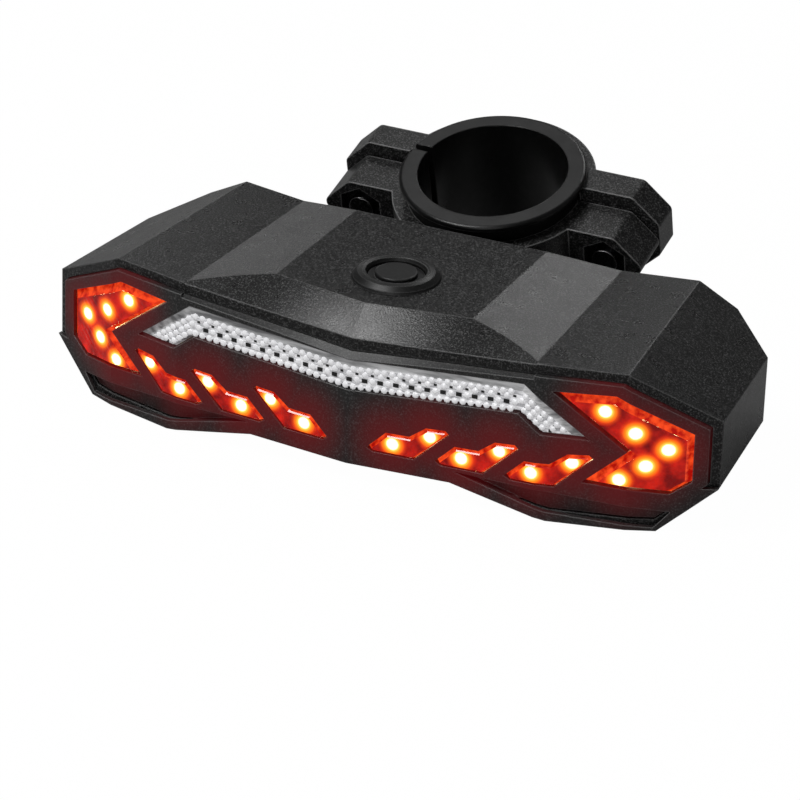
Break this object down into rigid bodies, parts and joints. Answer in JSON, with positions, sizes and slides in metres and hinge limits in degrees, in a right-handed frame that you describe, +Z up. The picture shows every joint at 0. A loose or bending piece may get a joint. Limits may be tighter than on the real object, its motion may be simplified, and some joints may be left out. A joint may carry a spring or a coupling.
{
  "type": "bicycle turn signal light",
  "caption": "Wide rear light for a bicycle with arrow and chevron turn lamps, a clear bar lamp, a top button and a split clamp for a seat post.",
  "frame": {"origin": "middle of the seat-post clamp's bore", "axes": "-Y the way the lenses face, +Z up, +X along the light's length"},
  "size_m": [0.1338, 0.085, 0.0434],
  "materials": {
    "black_shell": "fine grained matt black",
    "black_plate": "fine grained matt black",
    "black_rubber": "smooth satin rubber",
    "black_button": "smooth satin black",
    "red_lens": "clear red",
    "clear_lens": "clear with beads",
    "lamp": "warm lamp body",
    "circuit_board": "green solder mask",
    "screw_steel": "zinc plated",
    "dark_steel": "black oxide",
    "bright_steel": "tin plated",
    "wire_red": "wire insulation",
    "cell_wrap": "shrink wrap"
  },
  "bodies": {
    "light": {"rear_housing": "black_shell", "front_bezel": "black_plate", "bezel_gasket": "black_rubber", "bar_lens": "clear_lens", "arrow_lens_right": "red_lens", "arrow_lens_left": "red_lens", "right_chevron_inner": "red_lens", "right_chevron_middle": "red_lens", "right_chevron_outer": "red_lens", "left_chevron_inner": "red_lens", "left_chevron_middle": "red_lens", "left_chevron_outer": "red_lens", "led_board_centre": "circuit_board", "led_board_right": "circuit_board", "led_board_left": "circuit_board", "arrow_leds_right": "lamp", "arrow_leds_left": "lamp", "chevron_leds": "lamp", "bar_leds": "lamp", "control_board": "circuit_board", "control_screws": "screw_steel", "bezel_screws": "screw_steel", "button_collar": "black_button", "button_seal": "black_rubber", "tact_switch": "black_button", "battery_cell": "cell_wrap", "horn_disc": "black_button", "charge_port": "bright_steel", "port_tongue": "black_button", "port_board": "circuit_board", "tilt_screw": "dark_steel", "tilt_nut": "dark_steel", "light_baffle": "black_button", "board_screws": "screw_steel", "end_leads": "wire_red", "board_cable": "wire_red", "control_chips": "black_button", "radio_module": "circuit_board", "antenna": "bright_steel", "battery_lead": "wire_red", "horn_lead": "wire_red", "port_lead": "wire_red", "plug_pin": "dark_steel"},
    "button": {"power_button": "black_button", "switch_plunger": "black_button"},
    "plug": {"port_plug": "black_rubber"},
    "clamp": {"front_clamp_half": "black_shell", "clamp_liner": "black_rubber", "clamp_nuts": "dark_steel"},
    "cap": {"rear_clamp_half": "black_shell"},
    "screw_left": {"clamp_screw_left": "dark_steel"},
    "screw_right": {"clamp_screw_right": "dark_steel"}
  },
  "joints": [
    {"name": "button_press", "type": "slide", "parent": "light", "child": "button", "axis": [0, 0, -1], "range_m": [0, 0.0008], "stiffness_N_per_m": 1500, "springref_m": -0.0006},
    {"name": "plug_swing", "type": "hinge", "parent": "light", "child": "plug", "pos_m": [0.0507, -0.01345, -0.0173], "axis": [-1, 0, 0], "range_deg": [0, 110]},
    {"name": "light_tilt", "type": "hinge", "parent": "light", "child": "clamp", "pos_m": [0, -0.0163, -0.0203], "axis": [-1, 0, 0], "range_deg": [0, 15]},
    {"name": "cap_slide", "type": "slide", "parent": "clamp", "child": "cap", "axis": [0, 0.9659, 0.2588], "range_m": [0, 0.00397]},
    {"name": "screw_left_turn", "type": "hinge", "parent": "cap", "child": "screw_left", "pos_m": [-0.0253, 0, 0], "axis": [0, 0.9659, 0.2588], "range_deg": [0, 1790]},
    {"name": "screw_right_turn", "type": "hinge", "parent": "cap", "child": "screw_right", "pos_m": [0.0253, 0, 0], "axis": [0, 0.9659, 0.2588], "range_deg": [0, 1790]}
  ],
  "couplings": [
    {"joint": "screw_left_turn", "follows": "cap_slide", "rad_per_m": 7854},
    {"joint": "screw_right_turn", "follows": "cap_slide", "rad_per_m": 7854}
  ]
}
